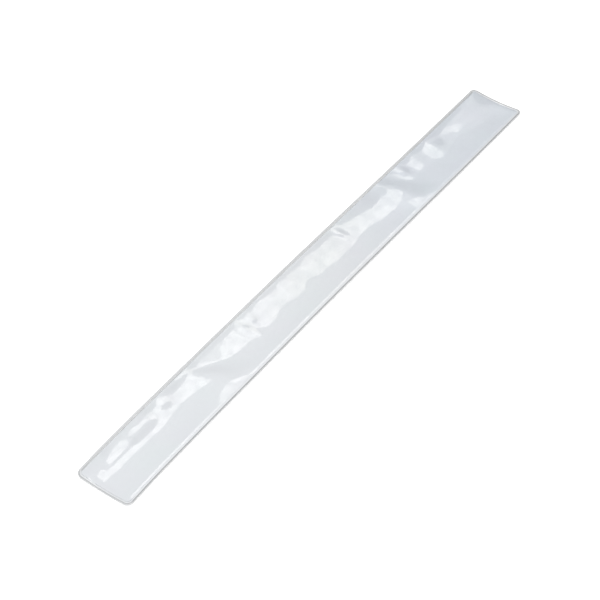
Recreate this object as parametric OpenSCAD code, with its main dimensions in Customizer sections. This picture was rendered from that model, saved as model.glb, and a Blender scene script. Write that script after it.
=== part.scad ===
// Slap bracelet, lying straight with its reflective face up.
// Two plastic films are welded together round their edges over a curved spring strip.
// The band is a shallow trough along its whole length, and its middle stands a little off the surface.
// The origin is on that surface, under the middle of the band.
// +X runs along the band, +Y across it, and +Z is up, away from the wearer's arm.

/* [Band] */
// Length of the straight band
band_l = 320; // [240:10:400]
// Width of the band
band_w = 30; // [26:1:40]
// Radius of the corners, seen from above
corner_r = 3.2; // [2.2:0.1:6]
// Height of the long edges over the middle line
trough_h = 1.2; // [0.8:0.1:2]
// Height of the middle over the surface that the ends rest on
bow_h = 2.4; // [0.5:0.1:5]

/* [Films] */
// Thickness of the reflective face film
face_t = 0.35; // [0.3:0.05:0.5]
// Thickness of the backing film
backing_t = 0.35; // [0.3:0.05:0.5]
// Width of the welded rim
weld_w = 1.6; // [1.2:0.1:2]
// Thickness of the welded rim
weld_t = 0.55; // [0.4:0.05:0.6]
// Width of the slope from the rim up to the raised panel
slope_w = 0.8; // [0.5:0.1:1]
// Length of the slope at each end of the raised panel
end_slope_l = 3.6; // [2:0.2:6]

/* [Spring strip] */
// From the end of the band to the end of the strip
strip_end_gap = 6; // [6:1:30]
// From the long edge of the band to the side of the strip
strip_side_gap = 2.75; // [2.75:0.25:6]
// Thickness of the spring strip
strip_t = 0.2; // [0.15:0.05:0.3]
// Radius of the strip's corners
strip_corner_r = 2; // [1:0.5:4]

/* [Hidden] */

// Gap between one piece and the next
slip = 0.05;
// Room round the strip inside the films, at its sides and at its ends
side_room = 0.1;
end_room = 0.4;
// How far a cutting body reaches past what it cuts
reach = 4;
// Smallest radius of a round corner inside the rim
least_r = 0.4;
// Longest step between two sections of the bow
section_step = 10;
// Sections over each crease
crease_steps = 6;
// Sides of a full circle, for the trough and for the corners
trough_fn = 360;
corner_fn = 48;

// The bow seen from the side, a row for each section.
// Columns: place along the half length, height as a share of bow_h
bow_rows = [
    [-1.00, -0.08],
    [-0.88, 0.52],
    [-0.70, 0.79],
    [-0.38, 0.93],
    [-0.10, 1.00],
    [0.25, 0.68],
    [0.60, 0.24],
    [0.86, 0.04],
    [1.00, 0.00],
];

// Creases that run across the face film, a row for each.
// Columns: place along the half length, half length of the crease in mm, height in mm
crease_rows = [
    [-0.49, 6.0, 0.22],
    [0.19, 4.5, 0.16],
    [0.475, 4.2, 0.30],
    [0.60, 5.0, 0.20],
];

// Colours of the pieces
weld_colour = [0.84, 0.86, 0.88];
face_colour = [0.86, 0.88, 0.91];
backing_colour = [0.90, 0.90, 0.89];
steel_colour = [0.62, 0.63, 0.64];

half_l = band_l / 2;
half_w = band_w / 2;
trough_r = (half_w * half_w + trough_h * trough_h) / (2 * trough_h);

// The films end just inside the rim
film_half_l = half_l - weld_w - slip;
film_half_w = half_w - weld_w - slip;
film_corner_r = max(corner_r - weld_w - slip, least_r);

// The strip, and the room for it between the films
strip_half_l = half_l - strip_end_gap;
strip_half_w = half_w - strip_side_gap;
pocket_half_l = strip_half_l + end_room;
pocket_half_w = strip_half_w + side_room;

// Heights over the middle layer, which runs through the middle of the strip and of the rim
seam_h = slip / 2;
strip_h = strip_t / 2;
pocket_h = strip_h + slip;
rim_h = weld_t / 2;
face_h = pocket_h + face_t;
backing_h = pocket_h + backing_t;

// Height of a body that reaches past the band both ways
block_h = 2 * (bow_h + trough_h + reach);

// Slope of the bow at a row, from the rows on both sides
function bow_slope(i) =
    let (a = max(i - 1, 0), b = min(i + 1, len(bow_rows) - 1))
    (bow_rows[b][1] - bow_rows[a][1]) / (bow_rows[b][0] - bow_rows[a][0]);

// A smooth curve between row i and the next, with t from 0 to 1
function bow_between(i, t) =
    let (gap = bow_rows[i + 1][0] - bow_rows[i][0])
    (2 * t * t * t - 3 * t * t + 1) * bow_rows[i][1]
        + (t * t * t - 2 * t * t + t) * gap * bow_slope(i)
        + (3 * t * t - 2 * t * t * t) * bow_rows[i + 1][1]
        + (t * t * t - t * t) * gap * bow_slope(i + 1);

// Height of the middle layer over its lowest place, at x along the band
function bow(x) =
    let (
        place = min(max(x / half_l, -1), 1),
        row = max([for (i = [0 : len(bow_rows) - 2]) if (bow_rows[i][0] <= place) i]),
        t = (place - bow_rows[row][0]) / (bow_rows[row + 1][0] - bow_rows[row][0])
    )
    bow_h * bow_between(row, t);

// Height of the creases over the face at x
function creases(x) =
    let (heights = [
        for (row = crease_rows)
            let (d = (x - row[0] * half_l) / row[1])
            abs(d) < 1 ? row[2] * (1 + cos(180 * d)) / 2 : 0
    ])
    max(heights);

// A film's height over the middle layer: the rim's at its ends, and the full height past the end slopes
function panel(x, full_h) =
    rim_h + (full_h - rim_h) * min(max((film_half_l - abs(x)) / end_slope_l, 0), 1);

// The numbers of a list in rising order, each once
function rising(v) =
    len(v) < 2 ? v
    : concat(
        rising([for (n = v) if (n < v[0]) n]),
        [v[0]],
        rising([for (n = v) if (n > v[0]) n])
    );

// Sections of the bow out to a half length
function bow_sections(half) =
    let (count = ceil(2 * half / section_step))
    [for (i = [0 : count]) -half + 2 * half * i / count];

// Sections over all the creases
function crease_sections() = [
    for (row = crease_rows)
        for (i = [0 : crease_steps])
            row[0] * half_l + row[1] * (2 * i / crease_steps - 1)
];

// The film's sections: the bow's between the end slopes, and the slopes' own ends
film_sections = concat(
    [-film_half_l],
    bow_sections(film_half_l - end_slope_l),
    [film_half_l]
);
face_sections = rising(concat(film_sections, crease_sections()));
rim_sections = bow_sections(half_l);
strip_sections = bow_sections(strip_half_l);
pocket_sections = bow_sections(pocket_half_l);
face_pocket_sections = rising(concat(pocket_sections, crease_sections()));

// The middle layer stands so high at the ends that the lowest face of the backing is at 0
base_h = -min([for (x = film_sections) bow(x) - panel(x, backing_h)]);

// A layer of the trough between two lines in the side view, each a list of [x, height] from left to right.
// It turns about the trough's axis, which runs along X over the band.
module trough_layer(low, high) {
    axis_h = base_h + trough_r;
    outline = concat(low, [for (i = [len(high) - 1 : -1 : 0]) high[i]]);
    spread = asin((half_w + reach) / (trough_r - bow_h));
    translate([0, 0, axis_h])
        rotate([0, 90, 0])
            rotate_extrude(angle = 2 * spread, start = -spread, $fn = trough_fn)
                polygon([for (p = outline) [trough_r - p[1], p[0]]]);
}

// A rectangle with round corners, seen from above
module round_plate(half_x, half_y, r) {
    square([2 * half_x, 2 * (half_y - r)], center = true);
    square([2 * (half_x - r), 2 * half_y], center = true);
    for (sx = [-1, 1])
        for (sy = [-1, 1])
            translate([sx * (half_x - r), sy * (half_y - r)])
                circle(r, $fn = corner_fn);
}

// The same rectangle as a body that is taller than the band
module round_block(half_x, half_y, r) {
    linear_extrude(block_h, center = true)
        round_plate(half_x, half_y, r);
}

// Height of the trough over its middle line at y across the band
function trough_rise(y) = trough_r - sqrt(trough_r * trough_r - y * y);

// Cuts the slope along one long side, from the full height down to the rim's height.
// side is 1 or -1 across the band, and up is 1 over the band or -1 under it.
module side_cutter(full_h, side, up) {
    inner_y = film_half_w - slope_w;
    inner_z = trough_rise(inner_y) + up * full_h;
    outer_z = trough_rise(film_half_w) + up * rim_h;
    tilt = atan2(outer_z - inner_z, slope_w);
    half = film_half_l + reach;
    edge = [for (x = bow_sections(half)) [x, bow(x) * cos(tilt)]];
    far = up * (trough_h + reach);
    mirror([0, side < 0 ? 1 : 0, 0])
        translate([0, inner_y, base_h + inner_z])
            rotate([90 + tilt, 0, 0])
                linear_extrude(2 * reach, center = true)
                    polygon(concat(edge, [[half, far], [-half, far]]));
}

// The two side slopes of a film
module side_cutters(full_h, up) {
    for (side = [-1, 1])
        side_cutter(full_h, side, up);
}

// The room for the spring strip: over the middle layer for the face, and under it for the backing
module pocket(low, high) {
    intersection() {
        trough_layer(low, high);
        cube([band_l, 2 * pocket_half_w, block_h], center = true);
    }
}

module weld_rim() {
    low = [for (x = rim_sections) [x, bow(x) - rim_h]];
    high = [for (x = rim_sections) [x, bow(x) + rim_h]];
    inner_r = max(corner_r - weld_w, least_r);
    color(weld_colour)
        intersection() {
            trough_layer(low, high);
            difference() {
                round_block(half_l, half_w, corner_r);
                round_block(half_l - weld_w, half_w - weld_w, inner_r);
            }
        }
}

module front_film() {
    low = [for (x = face_sections) [x, bow(x) + seam_h]];
    high = [for (x = face_sections) [x, bow(x) + panel(x, face_h) + creases(x)]];
    pocket_low = [for (x = face_pocket_sections) [x, bow(x) - pocket_h]];
    pocket_high = [for (x = face_pocket_sections) [x, bow(x) + pocket_h + creases(x)]];
    color(face_colour)
        difference() {
            intersection() {
                trough_layer(low, high);
                round_block(film_half_l, film_half_w, film_corner_r);
            }
            side_cutters(face_h, 1);
            pocket(pocket_low, pocket_high);
        }
}

module back_film() {
    low = [for (x = film_sections) [x, bow(x) - panel(x, backing_h)]];
    high = [for (x = film_sections) [x, bow(x) - seam_h]];
    pocket_low = [for (x = pocket_sections) [x, bow(x) - pocket_h]];
    pocket_high = [for (x = pocket_sections) [x, bow(x) + pocket_h]];
    color(backing_colour)
        difference() {
            intersection() {
                trough_layer(low, high);
                round_block(film_half_l, film_half_w, film_corner_r);
            }
            side_cutters(backing_h, -1);
            pocket(pocket_low, pocket_high);
        }
}

module spring_strip() {
    low = [for (x = strip_sections) [x, bow(x) - strip_h]];
    high = [for (x = strip_sections) [x, bow(x) + strip_h]];
    color(steel_colour)
        intersection() {
            trough_layer(low, high);
            round_block(strip_half_l, strip_half_w, strip_corner_r);
        }
}

weld_rim();
front_film();
back_film();
spring_strip();
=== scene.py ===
import math

import bmesh
import bpy
from mathutils import Matrix, Vector, noise


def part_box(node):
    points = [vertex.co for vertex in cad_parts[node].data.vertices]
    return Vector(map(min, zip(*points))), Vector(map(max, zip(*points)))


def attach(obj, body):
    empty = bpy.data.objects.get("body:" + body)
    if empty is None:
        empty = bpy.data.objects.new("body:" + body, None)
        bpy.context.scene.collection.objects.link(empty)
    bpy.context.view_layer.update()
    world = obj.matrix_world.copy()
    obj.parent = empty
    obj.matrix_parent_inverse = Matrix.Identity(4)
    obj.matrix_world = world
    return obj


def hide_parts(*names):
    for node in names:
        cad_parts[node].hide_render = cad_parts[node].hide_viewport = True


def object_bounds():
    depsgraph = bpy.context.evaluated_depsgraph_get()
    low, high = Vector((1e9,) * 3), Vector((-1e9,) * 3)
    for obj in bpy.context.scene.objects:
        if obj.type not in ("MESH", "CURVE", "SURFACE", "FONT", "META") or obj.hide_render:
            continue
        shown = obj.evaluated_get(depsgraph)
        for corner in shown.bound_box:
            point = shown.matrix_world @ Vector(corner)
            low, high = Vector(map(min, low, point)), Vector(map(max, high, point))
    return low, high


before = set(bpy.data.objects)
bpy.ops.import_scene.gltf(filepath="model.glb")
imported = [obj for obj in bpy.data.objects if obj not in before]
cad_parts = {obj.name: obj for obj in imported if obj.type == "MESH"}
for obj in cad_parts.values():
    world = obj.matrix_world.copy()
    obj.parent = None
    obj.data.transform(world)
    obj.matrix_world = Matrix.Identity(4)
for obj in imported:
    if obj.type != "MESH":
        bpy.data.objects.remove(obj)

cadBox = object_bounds()
mm = 0.001
scene = bpy.context.scene
scene.view_settings.view_transform = "Standard"

# the band's own sizes, in mm
halfL = cadBox[1].x / mm
halfW = cadBox[1].y / mm
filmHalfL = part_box("front_film")[1].x / mm
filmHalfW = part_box("front_film")[1].y / mm

band = {
    "cornerR": 3.2,          # corners seen from above
    "filmCornerR": 1.55,     # corners of both films, inside the rim
    "filmCornerSteps": 6,
    "troughH": 1.2,          # long edges over the middle line
    "bowH": 2.4,             # middle over the ends
    "baseH": 0.482,          # middle layer over the floor where the bow is at 0
    "weldT": 0.55,           # thickness of the welded rim
    "panelH": 0.50,          # outside of each film over the middle layer, where it covers the strip
    "seamH": 0.025,          # half the gap between the films
    "pocketH": 0.15,         # inside of each film over the middle layer, where it covers the strip
    "pocketSide": (0.25, 0.95),  # where the pocket starts and where it is full, from the long edges
    "pocketEnd": (1.0, 3.8),     # the same from the ends
}
closeBy = 0.001  # points nearer to each other than this are one, in mm

# the bow seen from the side: place along the half length, share of bowH
bowRows = [
    (-1.00, -0.08),
    (-0.88, 0.52),
    (-0.70, 0.79),
    (-0.38, 0.93),
    (-0.10, 1.00),
    (0.25, 0.68),
    (0.60, 0.24),
    (0.86, 0.04),
    (1.00, 0.00),
]


def bowSlope(i):
    a = max(i - 1, 0)
    b = min(i + 1, len(bowRows) - 1)
    return (bowRows[b][1] - bowRows[a][1]) / (bowRows[b][0] - bowRows[a][0])


def bow(x):
    # a smooth curve through the rows
    place = min(max(x / halfL, -1.0), 1.0)
    i = max(k for k in range(len(bowRows) - 1) if bowRows[k][0] <= place)
    gap = bowRows[i + 1][0] - bowRows[i][0]
    t = (place - bowRows[i][0]) / gap
    height = (2 * t ** 3 - 3 * t ** 2 + 1) * bowRows[i][1]
    height += (t ** 3 - 2 * t ** 2 + t) * gap * bowSlope(i)
    height += (3 * t ** 2 - 2 * t ** 3) * bowRows[i + 1][1]
    height += (t ** 3 - t ** 2) * gap * bowSlope(i + 1)
    return band["bowH"] * height


troughR = (halfW ** 2 + band["troughH"] ** 2) / (2 * band["troughH"])


def middle(x, y):
    # the middle layer: bow along the band, trough across it
    return band["baseH"] + bow(x) + troughR - math.sqrt(troughR ** 2 - y ** 2)


def ease(v, low, high):
    t = min(max((v - low) / (high - low), 0.0), 1.0)
    return t * t * (3 - 2 * t)


def bell(t):
    return math.exp(-t * t)


def panelHeight(share):
    # outside of a film: the rim's height at share 0, the panel's at share 1
    low = band["weldT"] / 2
    return low + (band["panelH"] - low) * share


def pocketHeight(x, y):
    # inside of a film: the room for the strip
    side = ease(filmHalfW - abs(y), *band["pocketSide"])
    end = ease(filmHalfL - abs(x), *band["pocketEnd"])
    return band["seamH"] + (band["pocketH"] - band["seamH"]) * side * end


sharpFrom = math.radians(50)  # edges sharper than this keep a crisp shade


def newPiece(bm, name, nodes, materials):
    # in metres, with its faces outwards, riding on the one body
    bmesh.ops.recalc_face_normals(bm, faces=bm.faces)
    bmesh.ops.scale(bm, vec=(mm, mm, mm), verts=bm.verts)
    mesh = bpy.data.meshes.new(name)
    bm.to_mesh(mesh)
    bm.free()
    mesh.shade_smooth()
    mesh.set_sharp_from_angle(angle=sharpFrom)
    piece = bpy.data.objects.new(name, mesh)
    scene.collection.objects.link(piece)
    for material in materials:
        mesh.materials.append(material)
    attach(piece, "root")
    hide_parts(*nodes)


def roundCorners(bm, halfX, halfY, radius, steps):
    # cuts the four corners of a flat grid with planes round each corner's arc, and drops any loose crumbs
    for sx in (-1, 1):
        for sy in (-1, 1):
            centre = Vector((sx * (halfX - radius), sy * (halfY - radius), 0))
            for i in range(steps):
                a = math.radians(90) * (i + 0.5) / steps
                out = Vector((sx * math.cos(a), sy * math.sin(a), 0))
                geom = bm.verts[:] + bm.edges[:] + bm.faces[:]
                bmesh.ops.bisect_plane(bm, geom=geom, dist=closeBy, plane_co=centre + out * radius,
                                       plane_no=out, clear_outer=True)
    loose = [v for v in bm.verts if not v.link_faces]
    bmesh.ops.delete(bm, geom=loose, context="VERTS")


# how much wider the grid's steps are in the middle of the film than on the whole, along it and across it
crowding = (0.1, 0.2)


def filmSkins(stepX, stepY):
    # a flat grid of the film's outline, with closer rows by its edges, doubled into an upper and a lower skin
    bm = bmesh.new()
    countX = round(2 * filmHalfL / stepX)
    countY = round(2 * filmHalfW / stepY)
    bmesh.ops.create_grid(bm, x_segments=countX, y_segments=countY, size=1)
    for v in bm.verts:
        v.co.x *= filmHalfL * (1 + crowding[0] - crowding[0] * v.co.x ** 2)
        v.co.y *= filmHalfW * (1 + crowding[1] - crowding[1] * v.co.y ** 2)
    roundCorners(bm, filmHalfL, filmHalfW, band["filmCornerR"], band["filmCornerSteps"])
    doubled = bmesh.ops.extrude_face_region(bm, geom=bm.faces[:])["geom"]
    lower = [g for g in doubled if isinstance(g, bmesh.types.BMVert)]
    for v in lower:
        v.tag = True
    # known fault: the cuts above leave a few points by the far corner tagged, and those stay at height 0
    upper = [v for v in bm.verts if not v.tag]
    return bm, upper, lower


def newMaterial(name):
    material = bpy.data.materials.new(name)
    material.use_nodes = True
    return material, material.node_tree.nodes["Principled BSDF"]


def addNode(tree, kind, inputs=None, **settings):
    # an input's value is a number, a colour, or another node's socket
    node = tree.nodes.new(kind)
    for key, value in settings.items():
        setattr(node, key, value)
    for key, value in (inputs or {}).items():
        if hasattr(value, "node"):
            tree.links.new(value, node.inputs[key])
        else:
            node.inputs[key].default_value = value
    return node


def objectPlace(tree):
    return addNode(tree, "ShaderNodeTexCoord").outputs["Object"]


def noiseAt(tree, place, scale, detail):
    node = addNode(tree, "ShaderNodeTexNoise", {"Vector": place, "Scale": scale, "Detail": detail})
    return node.outputs["Fac"]


def remap(tree, value, low, high, toLow=0.0, toHigh=1.0, smooth=False):
    # low and high become toLow and toHigh, and what lies past them is held there
    node = addNode(tree, "ShaderNodeMapRange", {"Value": value, "From Min": low, "From Max": high,
                                                "To Min": toLow, "To Max": toHigh},
                   interpolation_type="SMOOTHSTEP" if smooth else "LINEAR")
    return node.outputs["Result"]


def mixColours(tree, factor, first, second, blend="MIX"):
    node = addNode(tree, "ShaderNodeMix", {"Factor": factor, "A": first, "B": second},
                   data_type="RGBA", blend_type=blend)
    return node.outputs["Result"]


def addBump(tree, shader, height, strength, distance):
    bump = addNode(tree, "ShaderNodeBump", {"Height": height, "Strength": strength, "Distance": distance})
    tree.links.new(bump.outputs["Normal"], shader.inputs["Normal"])


# face film: its slopes from the panel down to the rim, and the steps of its grid, in mm
faceFilm = {
    "nearSlopeW": 1.5,     # on the -Y side
    "farSlopeW": 0.5,      # on the +Y side
    "nearEndSlopeL": 3.0,  # at the -X end
    "farEndSlopeL": 1.0,   # at the +X end
    "gridX": 0.42,
    "gridY": 0.42,
}

# where the face film stands off the strip beyond a line along the band, in mm:
# place along, place across, half length, width of the rise, height
lifts = [
    (-155.0, 0.8, 6.0, 2.2, -0.045),
    (-141.5, 4.9, 7.2, 1.0, 0.115),
    (-124.2, 4.7, 8.3, 2.2, 0.49),
    (-110.5, 11.2, 10.0, 1.5, 0.13),
    (-92.5, 10.3, 8.5, 1.8, 0.32),
    (-85.0, 10.6, 4.5, 1.6, 0.13),
    (-105.0, 0.8, 4.0, 2.2, -0.04),
    (-46.8, 1.2, 2.6, 2.0, -0.08),
    (-38.5, 0.0, 4.2, 2.0, 0.05),
    (-28.0, 0.8, 3.6, 2.0, -0.03),
    (-16.0, -0.4, 5.0, 2.0, 0.05),
    (-5.0, 0.8, 3.2, 2.0, -0.04),
    (6.0, -0.2, 5.0, 2.0, 0.03),
    (18.5, -1.0, 8.5, 2.2, 0.10),
    (19.0, 11.0, 8.0, 1.5, 0.06),
    (47.0, 10.3, 9.0, 2.8, 0.22),
    (57.0, -1.8, 10.0, 2.6, 0.13),
    (60.5, 7.4, 10.5, 3.6, 0.40),
    (66.0, -3.0, 5.0, 2.4, -0.12),
    (128.0, 11.6, 34.0, 1.5, 0.13),
]
liftEdge = 6  # how sharply a lift begins and ends along the band, an even power

# where the film bridges the trough across the band, in mm:
# crest's place along, its slant over and under the middle line, half lengths before and after, height,
# reach over and under the middle line, roundness under it, widening under it, narrowing over it
bridges = [
    (-81.0, -0.72, -0.10, 12.0, 8.2, 0.85, 13.0, 11.9, 3.0, 0.45, 0.65),
    (70.0, -0.20, -0.25, 8.0, 8.5, 0.74, 20.0, 11.8, 4.0, 0.0, 0.45),
]
bridgeBend = 3.0  # how far from the middle line a bridge's slant changes, in mm

# small puckers: place along, place across, half lengths before and after, half width, turn in degrees, height
puckers = [
    (-159.0, 9.5, 9.0, 7.0, 4.0, 0, -0.17),
    (-106.7, 8.1, 3.1, 3.1, 2.9, 0, 0.34),
    (-49.0, 5.0, 2.5, 2.2, 4.8, 7, 0.32),
    (-42.8, 7.0, 1.9, 1.8, 2.2, 0, 0.23),
    (28.0, 7.6, 2.0, 2.4, 4.6, 8, 0.32),
    (83.6, 8.4, 2.4, 3.2, 4.4, 4, 0.38),
    (95.5, 8.6, 4.2, 4.4, 4.2, -45, 0.13),
    (109.6, 6.2, 3.8, 5.0, 4.6, -4, 0.38),
    (117.8, 7.0, 2.2, 13.0, 3.6, -15, -0.08),
    (149.0, 6.0, 22.0, 11.0, 8.0, 0, 0.53),
    (157.0, -4.5, 5.0, 3.0, 4.5, 20, 0.28),
]

# faint uneven buckling all over the film, in mm
buckle = {
    "length": 9.0,
    "width": 6.0,
    "height": 0.034,
    "seed": 3.7,
}


def puckered(x, y):
    spot = Vector((x / buckle["length"], y / buckle["width"], buckle["seed"]))
    height = buckle["height"] * noise.noise(spot)
    for cx, cy, half, rise, up in lifts:
        height += up / (1 + ((x - cx) / half) ** liftEdge) * (1 + math.erf((y - cy) / rise)) / 2
    upper = (y + math.sqrt(y * y + bridgeBend ** 2)) / 2
    lower = y - upper
    for cx, slantUp, slantDown, before, after, up, reachUp, reachDown, roundDown, widen, narrow in bridges:
        u = x - cx - slantUp * upper - slantDown * lower
        span = 1 - (min(y / reachUp, 1.0) ** 2 if y > 0 else min(-y / reachDown, 1.0) ** roundDown)
        half = (before if u < 0 else after) * (1 - (widen * lower + narrow * upper) / filmHalfW)
        height += up * bell(u / half) * span
    for cx, cy, before, after, wide, turn, up in puckers:
        a = math.radians(turn)
        u = (x - cx) * math.cos(a) + (y - cy) * math.sin(a)
        v = (y - cy) * math.cos(a) - (x - cx) * math.sin(a)
        height += up * bell(u / (before if u < 0 else after)) * bell(v / wide)
    return height


def faceShare(x, y):
    # from 0 at the rim to 1 over the strip
    side = ease(filmHalfW - abs(y), 0, faceFilm["farSlopeW"] if y > 0 else faceFilm["nearSlopeW"])
    end = ease(filmHalfL - abs(x), 0, faceFilm["farEndSlopeL"] if x > 0 else faceFilm["nearEndSlopeL"])
    return side * end


faceLook = {
    "green": (0.634, 0.678, 0.694, 1),    # the two tints that drift into each other
    "violet": (0.660, 0.667, 0.708, 1),
    "patch": 60.0,                        # patches of tint per metre
    "farTintAndShade": (0.987, 1.006, 1.043, 1),  # a cooler tint of the half towards +X, with a little painted shade mixed into it
    "farPlaces": (0.0, 0.09),             # where it begins and where it is full, in metres
    "haze": 230.0,                        # hazy patches per metre in the clear top layer
    "hazeNoise": (0.36, 0.64),            # the noise's range between haziest and clearest
    "haziest": 0.52,
    "clearest": 1.0,
    "detail": 2.0,
    "cells": 2600.0,                      # reflective cells per metre
    "cellDepth": 0.000004,
    "cellStrength": 0.5,
    "roughness": 0.42,
    "coatRoughness": 0.02,
    "metallic": 0.1,
}


def faceFilmMaterial():
    material, shader = newMaterial("silverWhiteFilm")
    tree = material.node_tree
    place = objectPlace(tree)
    patches = noiseAt(tree, place, faceLook["patch"], faceLook["detail"])
    tint = mixColours(tree, patches, faceLook["green"], faceLook["violet"])
    along = addNode(tree, "ShaderNodeSeparateXYZ", {"Vector": place}).outputs["X"]
    # painted shade: the half towards +X gets a cooler tint with a little shade painted into its colour
    far = remap(tree, along, *faceLook["farPlaces"], smooth=True)
    tintedAndShaded = mixColours(tree, far, tint, faceLook["farTintAndShade"], "MULTIPLY")
    tree.links.new(tintedAndShaded, shader.inputs["Base Color"])
    cells = addNode(tree, "ShaderNodeTexVoronoi", {"Vector": place, "Scale": faceLook["cells"]})
    addBump(tree, shader, cells.outputs["Distance"], faceLook["cellStrength"], faceLook["cellDepth"])
    shader.inputs["Roughness"].default_value = faceLook["roughness"]
    shader.inputs["Metallic"].default_value = faceLook["metallic"]
    haze = noiseAt(tree, place, faceLook["haze"], faceLook["detail"])
    clear = remap(tree, haze, *faceLook["hazeNoise"], faceLook["haziest"], faceLook["clearest"])
    tree.links.new(clear, shader.inputs["Coat Weight"])
    shader.inputs["Coat Roughness"].default_value = faceLook["coatRoughness"]
    return material


def makeFaceFilm():
    bm, upper, lower = filmSkins(faceFilm["gridX"], faceFilm["gridY"])
    for v in lower:
        v.co.z = middle(v.co.x, v.co.y) + pocketHeight(v.co.x, v.co.y)
        v.co.z += max(puckered(v.co.x, v.co.y), 0.0) * faceShare(v.co.x, v.co.y)
    for v in upper:
        share = faceShare(v.co.x, v.co.y)
        v.co.z = middle(v.co.x, v.co.y) + panelHeight(share) + puckered(v.co.x, v.co.y) * share
    newPiece(bm, "faceFilm", ["front_film"], [faceFilmMaterial()])


# plain plastic, with its fine grain
grain = {
    "scale": 900.0,        # per metre
    "detail": 3.0,
    "strength": 0.4,
    "depth": 0.00002,
}


def plainMaterial(name, colour, roughness, coat=0.0):
    material, shader = newMaterial(name)
    tree = material.node_tree
    fine = noiseAt(tree, objectPlace(tree), grain["scale"], grain["detail"])
    addBump(tree, shader, fine, grain["strength"], grain["depth"])
    shader.inputs["Base Color"].default_value = colour
    shader.inputs["Roughness"].default_value = roughness
    shader.inputs["Coat Weight"].default_value = coat
    return material


# back film: its slopes up to the rim and the steps of its grid, in mm, and its colour
backFilm = {
    "slopeW": 0.8,         # along both long sides
    "endSlopeL": 5.0,      # at both ends
    "gridX": 2.0,
    "gridY": 0.8,
    "colour": (0.74, 0.74, 0.73, 1),
    "roughness": 0.5,
}


def backShare(x, y):
    side = ease(filmHalfW - abs(y), 0, backFilm["slopeW"])
    end = ease(filmHalfL - abs(x), 0, backFilm["endSlopeL"])
    return side * end


def makeBackFilm():
    bm, upper, lower = filmSkins(backFilm["gridX"], backFilm["gridY"])
    for v in lower:
        v.co.z = middle(v.co.x, v.co.y) - panelHeight(backShare(v.co.x, v.co.y))
    for v in upper:
        v.co.z = middle(v.co.x, v.co.y) - pocketHeight(v.co.x, v.co.y)
    white = plainMaterial("whiteBacking", backFilm["colour"], backFilm["roughness"])
    newPiece(bm, "backFilm", ["back_film"], [white])


# welded rim: rings from the outer edge inwards, each with its width and its finish
# 0 is welded film, 1 the lip and 2 the weld line
rimRings = [
    (0.03, 1),
    (0.06, 1),
    (0.08, 1),
    (0.10, 1),
    (0.18, 2),
    (0.22, 2),
    (0.22, 2),
    (0.20, 0),
    (0.26, 0),
    (0.285, 0),
]
rim = {
    "cornerSteps": 10,
    "longCuts": 119,
    "shortCuts": 11,
    "lineIn": 0.66,                # middle of the weld line from the edge, in mm
    "lineHalfW": 0.34,
    "lineDepth": 0.07,
    "farPlaces": (0.009, 0.0135),  # where the far edge's painted shade and light begins and is full across the band, in metres
    "endPlaces": (0.1565, 0.158),  # the same along it, for the ends
}

# the rim's three finishes, each with its colour along the near edge, along the far edge and at the ends;
# these colours hold painted shade and painted light: the near edge's shaded side and the far edge's shaded
# slope are darker, the far lip is lighter as a painted reflection, and the ends are retoned between them
# the welded film: darker along the far edge as painted shade
weldFlatLook = {
    "near": (0.72, 0.74, 0.76, 1),
    "far": (0.50, 0.51, 0.52, 1),
    "end": (0.71, 0.73, 0.75, 1),
    "roughness": 0.25,
    "coat": 0.5,
}
# the lip: lighter along the far edge as a painted reflection
weldLipLook = {
    "near": (0.70, 0.71, 0.72, 1),
    "far": (0.74, 0.75, 0.76, 1),
    "end": (0.70, 0.71, 0.72, 1),
    "roughness": 0.3,
    "coat": 0.3,
}
# the weld line: darkest along the near edge as painted shadow, lighter at the ends and along the far edge
weldLineLook = {
    "near": (0.34, 0.35, 0.36, 1),
    "far": (0.60, 0.61, 0.62, 1),
    "end": (0.46, 0.47, 0.48, 1),
    "roughness": 0.4,
    "coat": 0.2,
}


def shadedRimMaterial(name, look):
    # painted shade and light: the weld's colour changes along the far long edge and at both ends to stand in
    # for how light falls there
    material = plainMaterial(name, look["near"], look["roughness"], look["coat"])
    tree = material.node_tree
    parts = addNode(tree, "ShaderNodeSeparateXYZ", {"Vector": objectPlace(tree)})
    far = remap(tree, parts.outputs["Y"], *rim["farPlaces"])
    # painted shade and light across the band, between the near and the far edge
    sideShadeAndLight = mixColours(tree, far, look["near"], look["far"])
    along = addNode(tree, "ShaderNodeMath", {0: parts.outputs["X"]}, operation="ABSOLUTE").outputs["Value"]
    atEnd = remap(tree, along, *rim["endPlaces"])
    # painted shade and light at the ends
    colour = mixColours(tree, atEnd, sideShadeAndLight, look["end"])
    tree.links.new(colour, tree.nodes["Principled BSDF"].inputs["Base Color"])
    return material


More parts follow.
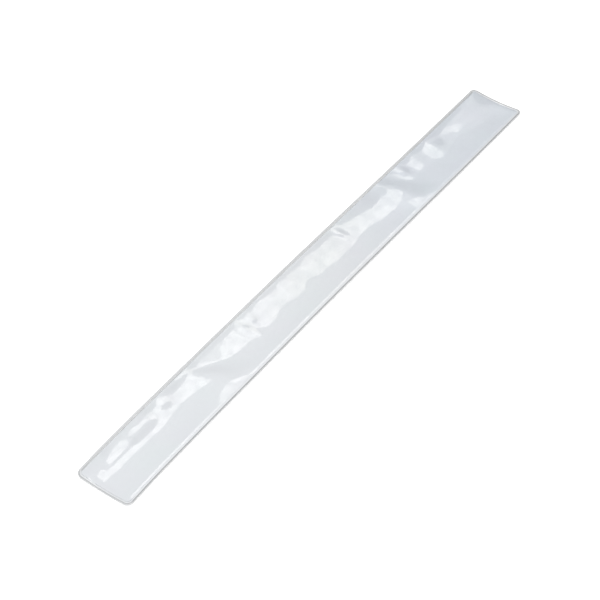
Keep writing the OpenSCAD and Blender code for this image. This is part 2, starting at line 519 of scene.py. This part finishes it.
def makeRim():
    bm = bmesh.new()
    bmesh.ops.create_grid(bm, x_segments=1, y_segments=1, size=1)
    bmesh.ops.scale(bm, vec=(halfL, halfW, 1), verts=bm.verts)
    bmesh.ops.bevel(bm, geom=bm.verts[:], offset=band["cornerR"], offset_type="OFFSET", affect="VERTICES",
                    segments=rim["cornerSteps"], profile=0.5, material=-1)
    longEdges = [e for e in bm.edges if e.calc_length() > 2 * halfW]
    shortEdges = [e for e in bm.edges if 2 * halfW > e.calc_length() > halfW]
    bmesh.ops.subdivide_edges(bm, edges=longEdges, cuts=rim["longCuts"])
    bmesh.ops.subdivide_edges(bm, edges=shortEdges, cuts=rim["shortCuts"])
    inner = bm.faces[:]
    inset = 0.0
    depth = bm.verts.layers.float.new("inset")
    for width, finish in rimRings:
        before = set(bm.verts)
        ring = bmesh.ops.inset_region(bm, faces=inner, thickness=width, use_boundary=True,
                                      use_even_offset=True)["faces"]
        inset += width
        for v in bm.verts:
            if v not in before:
                v[depth] = inset
        for f in ring:
            f.material_index = finish
    bmesh.ops.delete(bm, geom=inner, context="FACES")
    copied = bmesh.ops.duplicate(bm, geom=bm.verts[:] + bm.edges[:] + bm.faces[:])["geom"]
    lower = {g for g in copied if isinstance(g, bmesh.types.BMVert)}
    half = band["weldT"] / 2
    for v in bm.verts:
        # a round lip at the outer edge, and a shallow groove along the weld line
        rise = half * math.sqrt(1 - max(1 - v[depth] / half, 0.0) ** 2)
        rise -= rim["lineDepth"] * bell((v[depth] - rim["lineIn"]) / rim["lineHalfW"])
        v.co.z = middle(v.co.x, v.co.y) + (-rise if v in lower else rise)
    bmesh.ops.remove_doubles(bm, verts=bm.verts, dist=closeBy)
    openEdges = [e for e in bm.edges if e.is_boundary]
    bmesh.ops.bridge_loops(bm, edges=openEdges)
    finishes = [
        shadedRimMaterial("weldedFilm", weldFlatLook),
        shadedRimMaterial("weldedLip", weldLipLook),
        shadedRimMaterial("weldLine", weldLineLook),
    ]
    newPiece(bm, "weldRim", ["weld_rim"], finishes)


# spring strip: steel with fine lines along it
steelLook = {
    "colour": (0.45, 0.45, 0.46, 1),
    "stretch": (0.02, 1.0, 1.0),  # draws the lines out along the strip
    "lines": 6000.0,              # per metre
    "detail": 2.0,
    "smoothest": 0.26,
    "roughest": 0.42,
    "strength": 0.3,
    "depth": 0.00001,
}


def brushedMaterial(name):
    material, shader = newMaterial(name)
    tree = material.node_tree
    drawn = addNode(tree, "ShaderNodeMapping", {"Vector": objectPlace(tree), "Scale": steelLook["stretch"]})
    lines = noiseAt(tree, drawn.outputs["Vector"], steelLook["lines"], steelLook["detail"])
    rough = remap(tree, lines, 0.0, 1.0, steelLook["smoothest"], steelLook["roughest"])
    tree.links.new(rough, shader.inputs["Roughness"])
    addBump(tree, shader, lines, steelLook["strength"], steelLook["depth"])
    shader.inputs["Base Color"].default_value = steelLook["colour"]
    shader.inputs["Metallic"].default_value = 1.0
    return material


def finishStrip():
    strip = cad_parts["spring_strip"]
    strip.data.materials.clear()
    strip.data.materials.append(brushedMaterial("springSteel"))


makeFaceFilm()
print("face film made")
makeBackFilm()
print("back film made")
makeRim()
print("welded rim made")
finishStrip()
print("spring strip finished")

# floor
floorLook = {
    "size": 8.0,           # in metres
    "colour": (0.97, 0.97, 0.97, 1),
    "roughness": 0.9,
    "glow": 0.4,
}


def makeFloor():
    bm = bmesh.new()
    bmesh.ops.create_grid(bm, x_segments=1, y_segments=1, size=floorLook["size"] / 2)
    mesh = bpy.data.meshes.new("floor")
    bm.to_mesh(mesh)
    bm.free()
    floor = bpy.data.objects.new("floor", mesh)
    scene.collection.objects.link(floor)
    material, shader = newMaterial("paleFloor")
    shader.inputs["Base Color"].default_value = floorLook["colour"]
    shader.inputs["Roughness"].default_value = floorLook["roughness"]
    shader.inputs["Specular IOR Level"].default_value = 0.0
    shader.inputs["Emission Color"].default_value = (1, 1, 1, 1)
    shader.inputs["Emission Strength"].default_value = floorLook["glow"]
    mesh.materials.append(material)


makeFloor()
print("floor made")

# camera, in mm and degrees
cameraLook = {
    "azimuth": -55.52,
    "elevation": 46.1,
    "roll": 1.69,
    "distance": 924.1,
    "target": (-17.3, -1.4, 0.48),
    "lens": 118.82,
    "sensor": 36,
    "clipStart": 10.0,
}


def makeCamera():
    data = bpy.data.cameras.new("camera")
    camera = bpy.data.objects.new("camera", data)
    scene.collection.objects.link(camera)
    az = math.radians(cameraLook["azimuth"])
    el = math.radians(cameraLook["elevation"])
    roll = math.radians(cameraLook["roll"])
    back = Vector((math.sin(az) * math.cos(el), -math.cos(az) * math.cos(el), math.sin(el)))
    right = (-back).cross(Vector((0, 0, 1))).normalized()
    up = right.cross(-back)
    turned = right * math.cos(roll) + up * math.sin(roll)
    upTurned = up * math.cos(roll) - right * math.sin(roll)
    place = (Vector(cameraLook["target"]) + back * cameraLook["distance"]) * mm
    turn = Matrix((turned, upTurned, back)).transposed()
    camera.matrix_world = Matrix.Translation(place) @ turn.to_4x4()
    data.lens = cameraLook["lens"]
    data.sensor_width = cameraLook["sensor"]
    data.clip_start = cameraLook["clipStart"] * mm
    scene.camera = camera


makeCamera()
print("camera made")

# soft box that the face mirrors: a long one of many panes, in mm and degrees
softBox = {
    "azimuth": 31.0,       # its direction from the band, from +X towards +Y
    "elevation": 50.0,
    "distance": 1100.0,
    "shift": (48.0, 108.0),
    "turn": 55.5,
    "red": 1.0,
    "green": 0.98,
}

# its panes: where each begins and ends along it and across it, its radiance, and its blue share
panes = [
    (-455, -345, -60, 15, 0.85, 0.95),
    (-455, -345, 15, 79, 1.36, 0.95),
    (-345, -292, -101, 79, 3.39, 0.92),
    (-292, -250, -101, 79, 3.62, 0.9),
    (-250, -222, -101, 79, 2.82, 0.87),
    (-222, -180, -101, 0, 2.82, 0.86),
    (-222, -180, 0, 79, 3.16, 0.88),
    (-180, -128, -101, 0, 2.49, 0.88),
    (-180, -128, 0, 79, 3.05, 0.9),
    (-128, -100, -101, 0, 3.16, 0.92),
    (-128, -100, 0, 79, 4.07, 0.95),
    (-100, -80, -101, 0, 2.71, 0.92),
    (-100, -80, 0, 79, 3.28, 0.92),
    (-80, -62, -101, 0, 3.16, 0.95),
    (-80, -62, 0, 79, 3.84, 0.95),
    (-62, -25, -101, 79, 4.07, 0.95),
    (-25, 12, -101, 79, 1.75, 0.95),
    (12, 45, -101, 79, 2.94, 0.95),
    (45, 368, -101, 79, 3.84, 0.95),
]

# fill light over the near side, in mm
fill = {
    "place": (-250.0, -200.0, 800.0),
    "target": (-40, 0, 0),
    "size": 400.0,
    "power": 4.2,
}


def areaLight(name, place, towards, along, sizeX, sizeY, power):
    data = bpy.data.lights.new(name, "AREA")
    data.shape = "RECTANGLE"
    data.size = sizeX * mm
    data.size_y = sizeY * mm
    data.energy = power
    light = bpy.data.objects.new(name, data)
    scene.collection.objects.link(light)
    back = (place - towards).normalized()
    across = back.cross(along).normalized()
    turn = Matrix((across.cross(back), across, back)).transposed()
    light.matrix_world = Matrix.Translation(place * mm) @ turn.to_4x4()
    return light


def boxFrame():
    # the soft box's middle, its own directions along and across, and its direction from the band
    a = math.radians(softBox["azimuth"])
    e = math.radians(softBox["elevation"])
    out = Vector((math.cos(e) * math.cos(a), math.cos(e) * math.sin(a), math.sin(e)))
    side = Vector((0, 0, 1)).cross(out).normalized()
    rise = out.cross(side)
    shift = softBox["shift"]
    centre = out * softBox["distance"] + side * shift[0] + rise * shift[1]
    turn = math.radians(softBox["turn"])
    along = side * math.cos(turn) + rise * math.sin(turn)
    across = rise * math.cos(turn) - side * math.sin(turn)
    return centre, along, across, out


def makeSoftBox():
    centre, along, across, out = boxFrame()
    for start, end, low, high, radiance, blue in panes:
        place = centre + along * (start + end) / 2 + across * (low + high) / 2
        power = radiance * math.pi * (end - start) * (high - low) * mm * mm
        pane = areaLight("softBox", place, place - out, along, end - start, high - low, power)
        pane.data.color = (softBox["red"], softBox["green"], blue)


def makeFill():
    place = Vector(fill["place"])
    target = Vector(fill["target"])
    areaLight("fill", place, target, Vector((0, 1, 0)), fill["size"], fill["size"], fill["power"])


# the studio round the band: pale over it, dark low down and on its shaded sides
studio = {
    "strength": 1.10,
    "shade": 0.20,
    "shadeX": (0.58, 0.76),       # where the shade towards +X begins and is full, as a part of the direction
    "shadeY": (-0.15, 0.40),      # up to where the shade towards -Y is full, and where it ends
    "horizon": 0.25,
    "horizonEnds": (18, 32),      # up to where the horizon's light is alone, and where it ends, in degrees
    "cardShift": (125.0, 178.0),  # a dark card just past the soft box, along it and across it, in mm
    "cardRadii": (2.0, 4.2),      # up to where it is dark, and where it has faded, in degrees
    "cardShade": 0.05,
}


def makeStudio():
    world = bpy.data.worlds.new("studio")
    scene.world = world
    world.use_nodes = True
    tree = world.node_tree
    back = tree.nodes["Background"]
    back.inputs["Color"].default_value = (1, 1, 1, 1)
    direction = addNode(tree, "ShaderNodeTexCoord").outputs["Generated"]
    centre, along, across = boxFrame()[:3]
    shift = studio["cardShift"]
    card = (centre + along * shift[0] + across * shift[1]).normalized()
    nearCard = addNode(tree, "ShaderNodeVectorMath", {0: direction, 1: card}, operation="DOT_PRODUCT")
    darkTo, fadedTo = (math.cos(math.radians(r)) for r in studio["cardRadii"])
    uncarded = remap(tree, nearCard.outputs["Value"], fadedTo, darkTo, 1.0, studio["cardShade"], smooth=True)
    parts = addNode(tree, "ShaderNodeSeparateXYZ", {"Vector": direction})
    faded = remap(tree, parts.outputs["X"], *studio["shadeX"], studio["strength"], studio["shade"],
                  smooth=True)
    lit = remap(tree, parts.outputs["Y"], *studio["shadeY"], studio["shade"], faded, smooth=True)
    low, high = (math.sin(math.radians(h)) for h in studio["horizonEnds"])
    ramp = remap(tree, parts.outputs["Z"], low, high, studio["horizon"], lit, smooth=True)
    strength = addNode(tree, "ShaderNodeMath", {0: ramp, 1: uncarded}, operation="MULTIPLY")
    tree.links.new(strength.outputs["Value"], back.inputs["Strength"])


makeSoftBox()
makeFill()
makeStudio()
print("lights and studio made")
